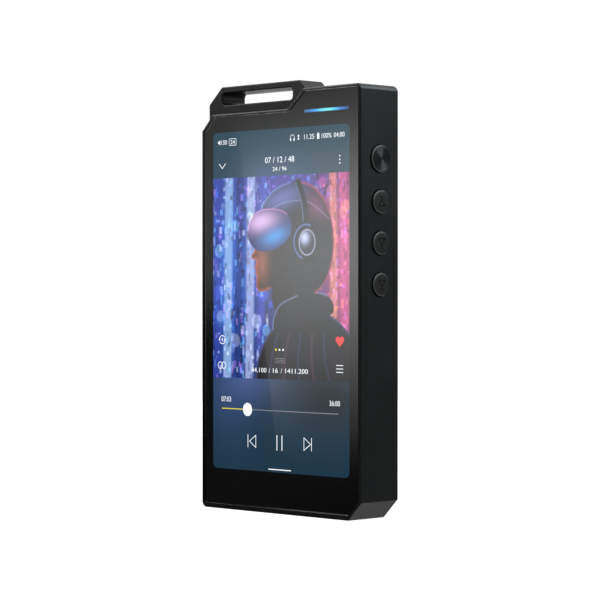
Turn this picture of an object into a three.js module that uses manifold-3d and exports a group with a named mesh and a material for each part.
// Hand-held digital audio player: a milled aluminium body with a lanyard bar, a full-face cover
// glass, side keys on tactile switches, a sliding card tray, and the boards, battery and sockets.
// Millimetres. X runs to the player's right, Y from the screen to the back, Z up.
// The origin is the middle of the bottom face. Inside the group, Y is 0 at the glass surface.
import * as THREE from 'three';
import { mergeVertices } from 'three/addons/utils/BufferGeometryUtils.js';
import Module from 'manifold-3d';

const wasm = await Module();
wasm.setup();

// ------------------------------------------------------------------ driving dimensions
const BODY_W = 68.5; // width
const HALF_W = BODY_W / 2;
const BODY_H = 127.0; // height of the taller, right-hand part
const BODY_D = 16.6; // depth, cover glass to rear cover
const STEP_Z = 121.2; // height of the lower, left-hand part
const STEP_X0 = 3.8; // foot of the slanted step
const STEP_X1 = 10.55; // head of the slanted step
const CHAMFER_TL = 4.85; // cut corner, top left
const CHAMFER_BR = 5.5; // cut corner, bottom right
const CORNER_R = 1.8; // rounded corners, top right and bottom left
const RIM_FRONT = 0.62; // rounding of the front rim
const RIM_BACK = 1.3; // rounding of the back rim
const WALL = 2.6; // side wall
const CLEARANCE = 0.02; // gap between parts that touch

const BAR_FRONT = 2.96; // lanyard bar: front face, from the glass surface
const BAR_BACK = 12.8; // lanyard bar: back face
const BAR_TOP = 129.84;
const BAR_FOOT = 108; // inside the body
const BAR_LEFT = -34.0;
const BAR_TOP_RIGHT = 5.85; // where the bar's top ends and its 45 degree end begins
const BAR_RIGHT = 9.9; // foot of the 45 degree end
const BAR_CHAMFER = 5.25;
const BAR_EDGE = 0.3; // chamfer along the bar's and the slot's edges
const SLOT_X = [-28.0, 3.0];
const SLOT_Z = [124.15, 127.9];

const GLASS_T = 0.9;
const GLASS_BASE_Z = 0.7; // bottom of the outline the glass and its seat are inset from
const GLASS_INSET = 0.78;
const GLASS_BEVEL = 0.22;
const GLASS_SEAT_Y = 1.15;
const DISPLAY_X = [-30.3, 30.3];
const DISPLAY_Z = [8.5, 117.3];
const DISPLAY_GAP = 0.5; // around the screen in its pocket
const LIGHT_BOARD_X = [9.5, 30.1];
const LIGHT_BOARD_Z = [118.8, 121.5];
const LIGHT_BOARD_GAP = 0.3;

const MID_FRONT = 3.3; // middle wall between screen and boards
const MID_BACK = 4.3;
const LEDGE_BACK = 15.35; // shelf the rear cover is glued to
const COVER_T = 1.0;
const COVER_Y = BODY_D - COVER_T; // front face of the rear cover

const KEY_Y = BODY_D / 2;
const KEY_PROUD = 0.7;
const POWER_Z = 105.35;
const POWER_R = 4.0;
const KEY_TOP_Z = 92.8; // highest of the smaller keys
const KEY_PITCH = 12.05;
const KEY_R = 3.4;
const KEY_GAP = 0.15; // gap between a key and its hole
const KEY_FLANGE = 0.45; // lip that keeps a key in, behind the wall
const KEY_SEGMENTS = 24;
const KEY_HOLE_SEGMENTS = 28;
const LIP_ROOM_X = 30.45; // inner end of the room for a key's lip
const KEY_BOARD_X = [27.4, 28.0]; // distance from the middle
const SWITCH_X = HALF_W - 6.2; // inner face of the switches and of the key boards' lugs

const TRAY_Y = [7.1, 9.5]; // opening of the card tray
const TRAY_Z = [19.0, 32.4];
const TRAY_GAP = 0.12;
const PORT_Y = BODY_D / 2;

const BOARD_T = 1;
const BATTERY_Y = 4.66; // front face of the battery
const CABLE_T = 0.12;

// ------------------------------------------------------------------ spans and outlines
// A span is [start, end] along one axis.
const around = (middle, half) => [middle - half, middle + half];
const widen = ([start, end], by) => [start - by, end + by];
// A span of distances from the middle, on the right (side 1) or the left (side -1).
const sideSpan = (side, near, far) => (side > 0 ? [near, far] : [-far, -near]);

// Points on an arc, from one angle to another in degrees.
const arc = (cx, cz, radius, from, to, steps) =>
  Array.from({ length: steps + 1 }, (_, i) => {
    const angle = THREE.MathUtils.degToRad(from + ((to - from) * i) / steps);
    return [cx + radius * Math.cos(angle), cz + radius * Math.sin(angle)];
  });

// The body's outline in X and Z, counter-clockwise seen from the screen side.
function bodyOutline({ bottom = 0, radius = CORNER_R } = {}) {
  return [
    ...arc(-HALF_W + radius, bottom + radius, radius, 180, 270, 4),
    [HALF_W - CHAMFER_BR + bottom, bottom],
    [HALF_W, CHAMFER_BR],
    ...arc(HALF_W - radius, BODY_H - radius, radius, 0, 90, 4),
    [STEP_X1, BODY_H],
    [STEP_X0, STEP_Z],
    [-HALF_W + CHAMFER_TL, STEP_Z],
    [-HALF_W, STEP_Z - CHAMFER_TL],
  ];
}

// Unit normal on the left of the line from p to q.
function leftNormal(p, q) {
  const dx = q[0] - p[0];
  const dz = q[1] - p[1];
  const length = Math.hypot(dx, dz);
  return [-dz / length, dx / length];
}

// Moves a corner so that both lines meeting there, with the given normals, shift by distance.
function offsetCorner(corner, before, after, distance) {
  const scale = distance / (1 + before[0] * after[0] + before[1] * after[1]);
  return corner.map((value, axis) => value + (before[axis] + after[axis]) * scale);
}

// Moves every edge of a counter-clockwise outline inwards (outwards if distance is negative).
function inset(outline, distance) {
  const count = outline.length;
  return outline.map((corner, i) => {
    const before = leftNormal(outline[(i + count - 1) % count], corner);
    const after = leftNormal(corner, outline[(i + 1) % count]);
    return offsetCorner(corner, before, after, distance);
  });
}

const rect = ([x0, x1], [z0, z1]) => [[x0, z0], [x1, z0], [x1, z1], [x0, z1]];
const roundRect = ([x0, x1], [z0, z1], radius, steps) => [
  ...arc(x1 - radius, z0 + radius, radius, -90, 0, steps),
  ...arc(x1 - radius, z1 - radius, radius, 0, 90, steps),
  ...arc(x0 + radius, z1 - radius, radius, 90, 180, steps),
  ...arc(x0 + radius, z0 + radius, radius, 180, 270, steps),
];
// Slot shape in Y and Z; the radius is just under half the width, so no edge vanishes.
const oval = (ySpan, zSpan) => roundRect(ySpan, zSpan, (ySpan[1] - ySpan[0]) / 2 - 0.01, 5);

// ------------------------------------------------------------------ shapes
const toVectors = (points) => points.map(([u, v]) => new THREE.Vector2(u, v));

function extrude(outline, [start, end], holes = []) {
  const shape = new THREE.Shape(toVectors(outline));
  shape.holes = holes.map((hole) => new THREE.Path(toVectors(hole)));
  return new THREE.ExtrudeGeometry(shape, { depth: end - start, bevelEnabled: false });
}

// Prisms along one axis: outlines are in Y and Z, X and Z, or X and Y.
const prismX = (outline, span) =>
  extrude(outline, span).rotateX(Math.PI / 2).rotateZ(Math.PI / 2).translate(span[0], 0, 0);
const prismY = (outline, span, holes) =>
  extrude(outline, span, holes).rotateX(Math.PI / 2).translate(0, span[1], 0);
const prismZ = (outline, span) => extrude(outline, span).translate(0, 0, span[0]);

// An outline drawn through several depths, each with its own inset: rings are [y, inset].
function loftY(outline, rings) {
  const count = outline.length;
  const sections = rings.map(([, distance]) => inset(outline, distance));
  const position = sections.flatMap((section, k) => section.flatMap(([x, z]) => [x, rings[k][0], z]));
  const index = [];
  for (let k = 0; k + 1 < rings.length; k++) {
    for (let i = 0; i < count; i++) {
      const here = k * count + i;
      const next = k * count + ((i + 1) % count);
      index.push(here, next + count, next, here, here + count, next + count);
    }
  }
  const cap = (k, flip) => {
    for (const face of THREE.ShapeUtils.triangulateShape(toVectors(sections[k]), [])) {
      const [a, b, c] = face.map((i) => k * count + i);
      index.push(...(flip ? [a, c, b] : [a, b, c]));
    }
  };
  cap(0, false);
  cap(rings.length - 1, true);
  const geometry = new THREE.BufferGeometry();
  geometry.setAttribute('position', new THREE.Float32BufferAttribute(position, 3));
  geometry.setIndex(index);
  return geometry;
}

function box([x0, x1], [y0, y1], [z0, z1]) {
  const geometry = new THREE.BoxGeometry(x1 - x0, y1 - y0, z1 - z0);
  return geometry.translate((x0 + x1) / 2, (y0 + y1) / 2, (z0 + z1) / 2);
}

// Turned shapes: profile is [distance along the axis, radius], from axis to axis.
function lathe(profile, segments) {
  const points = profile.map(([along, radius]) => new THREE.Vector2(radius, along));
  return new THREE.LatheGeometry(points, segments);
}
const latheX = (profile, y, z, segments) =>
  lathe(profile, segments).rotateZ(-Math.PI / 2).translate(0, y, z);
const latheY = (profile, x, z, segments) => lathe(profile, segments).translate(x, 0, z);
const latheZ = (profile, x, y, segments) =>
  lathe(profile, segments).rotateX(Math.PI / 2).translate(x, y, 0);

const rodProfile = (radius, [start, end]) => [[start, 0], [start, radius], [end, radius], [end, 0]];
const rodX = (y, z, radius, span, segments) => latheX(rodProfile(radius, span), y, z, segments);
const rodY = (x, z, radius, span, segments) => latheY(rodProfile(radius, span), x, z, segments);
const rodZ = (x, y, radius, span, segments) => latheZ(rodProfile(radius, span), x, y, segments);

// A ribbon of constant thickness along a bent line in Y and Z.
function ribbon(line, xSpan) {
  const side = (distance) =>
    line.map((point, i) => {
      const before = i > 0 && leftNormal(line[i - 1], point);
      const after = i < line.length - 1 && leftNormal(point, line[i + 1]);
      return offsetCorner(point, before || after, after || before, distance);
    });
  return prismX([...side(CABLE_T / 2), ...side(-CABLE_T / 2).reverse()], xSpan);
}

// ------------------------------------------------------------------ solids
function signedVolume(position, index) {
  const corner = (i) => new THREE.Vector3().fromArray(position, index[i] * 3);
  let volume = 0;
  for (let i = 0; i < index.length; i += 3) {
    volume += corner(i).dot(corner(i + 1).cross(corner(i + 2))) / 6;
  }
  return volume;
}

// A welded copy of a geometry, with every face pointing out.
function weld(geometry) {
  const bare = new THREE.BufferGeometry();
  bare.setAttribute('position', geometry.attributes.position);
  bare.setIndex(geometry.index);
  const welded = mergeVertices(bare, 1e-4);
  const source = welded.index.array;
  const index = [];
  for (let i = 0; i < source.length; i += 3) {
    const [a, b, c] = source.slice(i, i + 3);
    if (a !== b && b !== c && a !== c) index.push(a, b, c);
  }
  if (signedVolume(welded.attributes.position.array, index) < 0) index.reverse();
  welded.setIndex(index);
  return welded;
}

function solid(geometry) {
  const welded = weld(geometry);
  return new wasm.Manifold(
    new wasm.Mesh({
      numProp: 3,
      vertProperties: new Float32Array(welded.attributes.position.array),
      triVerts: new Uint32Array(welded.index.array),
    }),
  );
}

const add = (base, ...shapes) => shapes.reduce((sum, shape) => sum.add(solid(shape)), base);
const cut = (base, ...cutters) => cutters.reduce((rest, tool) => rest.subtract(solid(tool)), base);

function fromSolid(manifold) {
  const mesh = manifold.getMesh();
  const geometry = new THREE.BufferGeometry();
  const position = new Float32Array(mesh.vertProperties);
  geometry.setAttribute('position', new THREE.BufferAttribute(position, 3));
  geometry.setIndex(new THREE.BufferAttribute(new Uint32Array(mesh.triVerts), 1));
  return geometry;
}

// ------------------------------------------------------------------ materials
const ANODISED = { color: 0x26282a, roughness: 0.55, metalness: 0.85 };
const GLASS = { color: 0x08090a, roughness: 0.05, metalness: 0 };
const KEY_METAL = { color: 0x2a2c2e, roughness: 0.42, metalness: 0.9 };
const BLACK_PLASTIC = { color: 0x141516, roughness: 0.6, metalness: 0 };
const STEEL = { color: 0x9c9ea0, roughness: 0.35, metalness: 1 };
const BOARD = { color: 0x12301f, roughness: 0.5, metalness: 0 };
const CHIP = { color: 0x1b1c1e, roughness: 0.5, metalness: 0 };
const TAPE = { color: 0x101010, roughness: 0.8, metalness: 0 };
const FLEX = { color: 0x8a5a1c, roughness: 0.45, metalness: 0 };
const POUCH = { color: 0x3b3d40, roughness: 0.45, metalness: 0.3 };
const LIGHT = { color: 0x66c8ff, roughness: 0.3, metalness: 0 };
const PANEL = { color: 0x1c2a44, roughness: 0.3, metalness: 0 };
const WHITE = { color: 0xd8dadc, roughness: 0.5, metalness: 0 };
const CAPACITOR = { color: 0x3a3226, roughness: 0.5, metalness: 0.1 };

// ------------------------------------------------------------------ group
const player = new THREE.Group();
const inner = new THREE.Group(); // depth measured from the glass surface
inner.position.y = -BODY_D / 2;
player.add(inner);

function piece(name, shape, look) {
  const geometry = shape.isBufferGeometry ? weld(shape) : fromSolid(shape);
  geometry.computeVertexNormals();
  const mesh = new THREE.Mesh(geometry, new THREE.MeshStandardMaterial(look));
  mesh.name = name;
  inner.add(mesh);
}

// Block-shaped pieces. Rows: name, X span, Y span, Z span, material.
const blocks = (rows) => rows.forEach(([name, x, y, z, look]) => piece(name, box(x, y, z), look));

// ------------------------------------------------------------------ parts the frame makes room for
const glassBase = bodyOutline({ bottom: GLASS_BASE_Z });
const coverBase = bodyOutline({ radius: 3.2 });
const interiorBase = bodyOutline({ radius: 4 });

// front: the board's front face. screws: X, Z. holeFrom: blind end of the holes in the posts.
const mainBoard = {
  name: 'main_board',
  front: 8.6,
  outline: rect([-26.9, 26.9], [96, 118.1]),
  screws: [[-23.5, 115.2], [23.5, 115.2], [13, 98.3]],
  postRadius: 2.2,
  holeFrom: MID_BACK + 1.2,
};
const audioBoard = {
  name: 'audio_board',
  front: 10.0,
  outline: [
    [-30.6, 16.8], [-15.8, 16.8], [-15.8, 3.0], [13.6, 3.0],
    [13.6, 16.8], [30.6, 16.8], [30.6, 36], [-30.6, 36],
  ],
  screws: [[-11.5, 6], [9.5, 6], [26.5, 33]],
  postRadius: 2.0,
  holeFrom: MID_BACK + 2.6,
};
const BOARDS = [mainBoard, audioBoard];

// Side is 1 on the right, -1 on the left.
const smallKey = (name, side, row) => ({
  name,
  side,
  z: KEY_TOP_Z - row * KEY_PITCH,
  radius: KEY_R,
});
const KEYS = [
  { name: 'power', side: 1, z: POWER_Z, radius: POWER_R },
  smallKey('previous', 1, 0),
  smallKey('play_pause', 1, 1),
  smallKey('next', 1, 2),
  smallKey('volume_up', -1, 0),
  smallKey('volume_down', -1, 1),
];

// Sockets for round plugs: a collar in the bottom wall, a housing behind it and a side foot.
const JACK_COLLAR_GAP = 0.1;
const JACKS = [
  {
    name: 'headphone_jack', x: -20, collarRadius: 2.95,
    halfWidth: 3.7, halfDepth: 3.2, top: 15.8,
    footX: [-16.5, -14.4], boreRadius: 1.8, boreTop: 14.6,
  },
  {
    name: 'balanced_jack', x: 18.5, collarRadius: 3.85,
    halfWidth: 4.3, halfDepth: 3.95, top: 16.5,
    footX: [12.2, 14.4], boreRadius: 2.25, boreTop: 15.4,
  },
];

// USB-C outlines in X and Y: the wall's opening, the shell's outside and its inside.
const usbOutline = (halfWidth, halfDepth, radius) =>
  roundRect(around(0, halfWidth), around(PORT_Y, halfDepth), radius, 5);
const usbOpening = usbOutline(4.65, 1.78, 1.7);
const usbOutside = usbOutline(4.47, 1.6, 1.55);
const usbInside = usbOutline(4.17, 1.3, 1.25);

// ------------------------------------------------------------------ main frame
// Rings of [y, inset] that round the rims: the front in two steps, the back in three.
const bodyRings = [
  [0, RIM_FRONT],
  [RIM_FRONT * 0.29, RIM_FRONT * 0.29],
  [RIM_FRONT, 0],
  [BODY_D - RIM_BACK, 0],
  [BODY_D - RIM_BACK * 0.5, RIM_BACK * 0.134],
  [BODY_D - RIM_BACK * 0.134, RIM_BACK * 0.5],
  [BODY_D, RIM_BACK],
];

function lanyardBar() {
  const outline = [
    [BAR_LEFT, BAR_FOOT],
    [BAR_RIGHT, BAR_FOOT],
    [BAR_RIGHT, BAR_TOP_RIGHT + BAR_TOP - BAR_RIGHT],
    [BAR_TOP_RIGHT, BAR_TOP],
    [BAR_LEFT + BAR_CHAMFER + 0.5, BAR_TOP],
    [BAR_LEFT, BAR_TOP - BAR_CHAMFER],
  ];
  return loftY(outline, [
    [BAR_FRONT, BAR_EDGE],
    [BAR_FRONT + BAR_EDGE, 0],
    [BAR_BACK - BAR_EDGE, 0],
    [BAR_BACK, BAR_EDGE],
  ]);
}

// The slot's chamfers are carried on a little past the bar's faces.
function lanyardSlot() {
  const past = 0.1;
  return loftY(roundRect(SLOT_X, SLOT_Z, 1.2, 3), [
    [BAR_FRONT - past, -BAR_EDGE - past],
    [BAR_FRONT + BAR_EDGE, 0],
    [BAR_BACK - BAR_EDGE, 0],
    [BAR_BACK + past, -BAR_EDGE - past],
  ]);
}

const screenPocket = rect(widen(DISPLAY_X, DISPLAY_GAP), widen(DISPLAY_Z, DISPLAY_GAP));
const lightPocket = rect(
  widen(LIGHT_BOARD_X, LIGHT_BOARD_GAP),
  widen(LIGHT_BOARD_Z, LIGHT_BOARD_GAP),
);

// Every screw of both boards, as a rod made by the given function.
const atScrews = (rod) => BOARDS.flatMap((board) => board.screws.map(([x, z]) => rod(board, x, z)));

const screwPost = ({ front, postRadius }, x, z) =>
  rodY(x, z, postRadius, [MID_BACK - 0.5, front - CLEARANCE], 14);
const screwHole = ({ front, holeFrom }, x, z) => rodY(x, z, 0.72, [holeFrom, front + 1], 10);

// Lugs that hold the key boards, at two heights on each side
const keyLugs = [73.6, 97.6].flatMap((z) =>
  [1, -1].map((side) =>
    box(sideSpan(side, SWITCH_X, HALF_W - WALL + 0.4), [5.2, 11.4], [z, z + 2.3]),
  ),
);

const keyHole = ({ side, z, radius }) => {
  const span = sideSpan(side, HALF_W - WALL - 0.5, HALF_W + 1);
  return rodX(KEY_Y, z, radius + KEY_GAP, span, KEY_HOLE_SEGMENTS);
};
const keyLipRoom = ({ side, z, radius }) => {
  const span = sideSpan(side, LIP_ROOM_X, HALF_W - WALL);
  return rodX(KEY_Y, z, radius + KEY_FLANGE + 0.15, span, KEY_HOLE_SEGMENTS);
};

const bottomWallSpan = [-1, WALL + 0.5]; // cuts through the bottom wall
const jackHole = ({ x, collarRadius }) =>
  rodZ(x, PORT_Y, collarRadius + JACK_COLLAR_GAP, bottomWallSpan, 24);

function mainFrame() {
  let frame = add(solid(loftY(bodyOutline(), bodyRings)), lanyardBar());
  frame = cut(
    frame,
    lanyardSlot(),
    // seat of the glass, pocket of the screen, pocket of the light bar
    prismY(inset(glassBase, 0.7), [-1, GLASS_SEAT_Y]),
    prismY(screenPocket, [0.5, MID_FRONT]),
    prismY(lightPocket, [0.5, 3.2]),
    // room for the boards and battery, and the seat of the rear cover
    prismY(inset(interiorBase, WALL), [MID_BACK, LEDGE_BACK + 0.5]),
    prismY(inset(coverBase, 1.45), [LEDGE_BACK, BODY_D + 1]),
    // window for the screen's cable
    prismY(rect([-9, 9], [98.5, 104]), [MID_FRONT - 0.5, MID_BACK + 0.5]),
  );
  frame = add(frame, ...atScrews(screwPost));
  frame = cut(frame, ...atScrews(screwHole));
  frame = add(frame, ...keyLugs);
  return cut(
    frame,
    ...KEYS.map(keyHole),
    ...KEYS.map(keyLipRoom),
    // opening of the card tray, in the left wall
    prismX(oval(TRAY_Y, TRAY_Z), [-HALF_W - 1, -HALF_W + WALL + 0.5]),
    ...JACKS.map(jackHole),
    prismZ(usbOpening, bottomWallSpan),
  );
}
piece('main_frame', mainFrame(), ANODISED);

// ------------------------------------------------------------------ screen side
const glassRings = [[0, GLASS_BEVEL], [GLASS_BEVEL, 0], [GLASS_T, 0]]; // y, inset
piece('front_glass', loftY(inset(glassBase, GLASS_INSET), glassRings), GLASS);

// Opening in the glass adhesive, around the screen and the light bar: X, Z.
const adhesiveOpening = [
  [-31.2, 7.4], [31.2, 7.4], [31.2, 122.1], [8.2, 122.1],
  [8.2, 118.2], [-30.2, 118.2], [-31.2, 117.2],
];
const glassAdhesiveY = [GLASS_T + CLEARANCE, GLASS_SEAT_Y - CLEARANCE];
piece(
  'front_glass_adhesive',
  prismY(inset(glassBase, 1.1), glassAdhesiveY, [adhesiveOpening]),
  TAPE,
);
blocks([
  ['display_panel', DISPLAY_X, [0.94, 2.1], DISPLAY_Z, PANEL],
  ['display_backlight', DISPLAY_X, [2.15, 3.0], DISPLAY_Z, WHITE],
  ['light_bar_guide', [10.5, 29.1], [0.94, 2.4], [119.6, 120.55], LIGHT],
  ['light_bar_board', LIGHT_BOARD_X, [2.45, 3.1], LIGHT_BOARD_Z, BOARD],
]);

// Centre line of the cable from behind the screen to the main board: Y, Z.
const displayCableLine = [
  [3.14, 91], [3.14, 99.2], [3.5, 100.4], [7.6, 101.6], [8.46, 102.8], [8.46, 106],
];
piece('display_cable', ribbon(displayCableLine, [-7, 7]), FLEX);

// ------------------------------------------------------------------ back
const coverRings = [[COVER_Y, 0], [BODY_D - 0.2, 0], [BODY_D, 0.2]]; // y, inset
piece('rear_cover', loftY(inset(coverBase, 1.53), coverRings), GLASS);
const coverAdhesiveY = [LEDGE_BACK + CLEARANCE, COVER_Y - CLEARANCE];
piece(
  'rear_cover_adhesive',
  prismY(inset(interiorBase, 1.62), coverAdhesiveY, [inset(interiorBase, 2.5)]),
  TAPE,
);
piece('antenna', box([-26, -6], [15.4, 15.56], [110, 117]), FLEX);

// ------------------------------------------------------------------ keys
// A key from its stem outwards: distance out from the wall's face, radius.
function keyButton({ side, z, radius }) {
  const lip = radius + KEY_FLANGE;
  const face = radius - CLEARANCE;
  const profile = [
    [-3.95, 0], [-3.95, 1.3], [-3.3, 1.3], [-3.3, lip], [-2.68, lip], [-2.68, face],
    [KEY_PROUD - 0.35, face], [KEY_PROUD, radius - 0.37], [KEY_PROUD, 0],
  ];
  const placed = profile.map(([out, r]) => [side * (HALF_W + out), r]);
  return latheX(placed, KEY_Y, z, KEY_SEGMENTS);
}

// A tactile switch: a block with a round plunger facing the key.
function keySwitch({ side, z }) {
  const blockX = sideSpan(side, SWITCH_X, HALF_W - 4.9);
  const plungerX = sideSpan(side, HALF_W - 5.0, HALF_W - 4.4);
  return add(
    solid(box(blockX, around(KEY_Y, 1.6), around(z, 2.3))),
    rodX(KEY_Y, z, 0.9, plungerX, 12),
  );
}

KEYS.forEach((key) => piece(`${key.name}_button`, keyButton(key), KEY_METAL));
KEYS.forEach((key) => piece(`${key.name}_switch`, keySwitch(key), STEEL));
blocks([
  ['right_key_board', sideSpan(1, ...KEY_BOARD_X), [5.0, 11.6], [63, 111], BOARD],
  ['left_key_board', sideSpan(-1, ...KEY_BOARD_X), [5.0, 11.6], [72.5, 100.5], BOARD],
]);

// ------------------------------------------------------------------ card tray and its socket
function cardTray() {
  const headOutline = oval(widen(TRAY_Y, -TRAY_GAP), widen(TRAY_Z, -TRAY_GAP));
  const tray = add(
    solid(prismX(headOutline, [-HALF_W, -HALF_W + 1.5])),
    box([-HALF_W + 1.2, -15.5], [7.7, 8.9], widen(TRAY_Z, -0.5)),
  );
  return cut(
    tray,
    // card recess, the window in its floor, and a round hole in the tray's head
    box([-31.6, -16.4], [7.5, 8.45], widen(TRAY_Z, -1.1)),
    box([-29.6, -18.4], [7.5, 9.5], [21.6, 29.8]),
    rodX(PORT_Y, 30.9, 0.5, [-HALF_W - 1, -HALF_W + 0.9], 10),
  );
}
piece('card_tray', cardTray(), KEY_METAL);

const socketHousing = box([-30.6, -14.2], [6.9, 9.96], widen(TRAY_Z, 0.5));
const socketCavity = box([-31, -14.8], [7.45, 9.15], widen(TRAY_Z, -0.1));
piece('card_socket', cut(solid(socketHousing), socketCavity), STEEL);

// ------------------------------------------------------------------ main board
function circuitBoard({ name, front, outline, screws }) {
  const holes = screws.map(([x, z]) => arc(x, z, 0.9, 0, 324, 9));
  piece(name, prismY(outline, [front, front + BOARD_T], holes), BOARD);
}

// Y spans of parts mounted on a board's back and front faces
function onBack({ front }, height) {
  const foot = front + BOARD_T + CLEARANCE;
  return [foot, foot + height];
}
const onFront = ({ front }, reach) => [front - reach, front - CLEARANCE];

circuitBoard(mainBoard);
blocks([
  ['processor_chip', [-6, 8], onBack(mainBoard, 1.3), [102.5, 116.5], CHIP],
  ['memory_chip', [10, 21], onBack(mainBoard, 1.1), [103, 116], CHIP],
  ['wireless_module', [-24, -10], onBack(mainBoard, 1.9), [101, 112.5], STEEL],
  ['storage_chip', [11, 22.5], onFront(mainBoard, 1.1), [101.2, 112], CHIP],
  ['power_chip', [-22, -15], onFront(mainBoard, 1.0), [104, 111], CHIP],
]);

// ------------------------------------------------------------------ audio board
circuitBoard(audioBoard);
const audioChipY = onBack(audioBoard, 0.9);
blocks([
  ['dac_chip_left', [-15.5, -8.5], audioChipY, [23, 30], CHIP],
  ['dac_chip_right', [8.5, 15.5], audioChipY, [23, 30], CHIP],
  ['amplifier_chip_left', [-26, -21], audioChipY, [20, 25], CHIP],
  ['amplifier_chip_right', [20, 25], audioChipY, [20, 25], CHIP],
  ['clock_oscillator_a', [-4.4, -1.2], audioChipY, [25, 27.5], STEEL],
  ['clock_oscillator_b', [1.2, 4.4], audioChipY, [25, 27.5], STEEL],
]);
const capacitorY = onFront(audioBoard, 5);
for (let i = 0; i < 4; i++) {
  piece(`audio_capacitor_${i + 1}`, rodY(-8 + 7 * i, 26, 2.5, capacitorY, 14), CAPACITOR);
}

// ------------------------------------------------------------------ sockets
function jack({ x, collarRadius, halfWidth, halfDepth, top, footX, boreRadius, boreTop }) {
  const body = add(
    solid(rodZ(x, PORT_Y, collarRadius, [0.12, 3.2], 24)),
    box(around(x, halfWidth), around(PORT_Y, halfDepth), [2.72, top]),
    box(footX, onFront(audioBoard, 1.1), [10, 14]),
  );
  return cut(body, rodZ(x, PORT_Y, boreRadius, [-1, boreTop], 20));
}
JACKS.forEach((socket) => piece(socket.name, jack(socket), BLACK_PLASTIC));

const usbShell = cut(solid(prismZ(usbOutside, [0.15, 7.5])), prismZ(usbInside, [-1, 7.0]));
piece('usb_c_shell', usbShell, STEEL);
piece('usb_c_tongue', box([-3.35, 3.35], around(PORT_Y, 0.35), [1.0, 6.98]), BLACK_PLASTIC);

// ------------------------------------------------------------------ battery and cables
const batteryRings = [[BATTERY_Y, 0.9], [5.5, 0], [11.8, 0], [12.6, 0.9]]; // y, inset
piece('battery', loftY(rect([-26.8, 26.8], [38, 92]), batteryRings), POUCH);
const batteryAdhesiveY = [MID_BACK + CLEARANCE, BATTERY_Y - CLEARANCE];
blocks([
  ['battery_adhesive', [-22, 22], batteryAdhesiveY, [43, 87], TAPE],
  ['battery_board', [-13, 13], [6.6, 10.6], [92.1, 93.5], BOARD],
]);

// Centre line of the cable between the two boards, behind the battery: Y, Z.
const boardCableLine = [
  [11.2, 31.5], [11.2, 34], [12.9, 37.2], [12.9, 93.4], [9.78, 97.2], [9.78, 101],
];
piece('board_ribbon_cable', ribbon(boardCableLine, [-6, 6]), FLEX);

// ------------------------------------------------------------------ screws
// A flat-headed machine screw with a cross slot in its head; seat is the Y its head sits on.
function screw(x, z, seat) {
  const tip = seat - 3.6;
  const head = seat + CLEARANCE;
  const top = seat + 0.62;
  const profile = [
    [tip, 0], [tip, 0.62], [head, 0.62], [head, 1.3], [seat + 0.5, 1.3], [top, 1.15], [top, 0],
  ];
  const slotY = [seat + 0.35, seat + 1];
  return cut(
    solid(latheY(profile, x, z, 10)),
    box(around(x, 0.75), slotY, around(z, 0.14)),
    box(around(x, 0.14), slotY, around(z, 0.75)),
  );
}
for (const { name, front, screws } of BOARDS) {
  screws.forEach(([x, z], i) => {
    piece(`${name}_screw_${i + 1}`, screw(x, z, front + BOARD_T), STEEL);
  });
}

export default player;
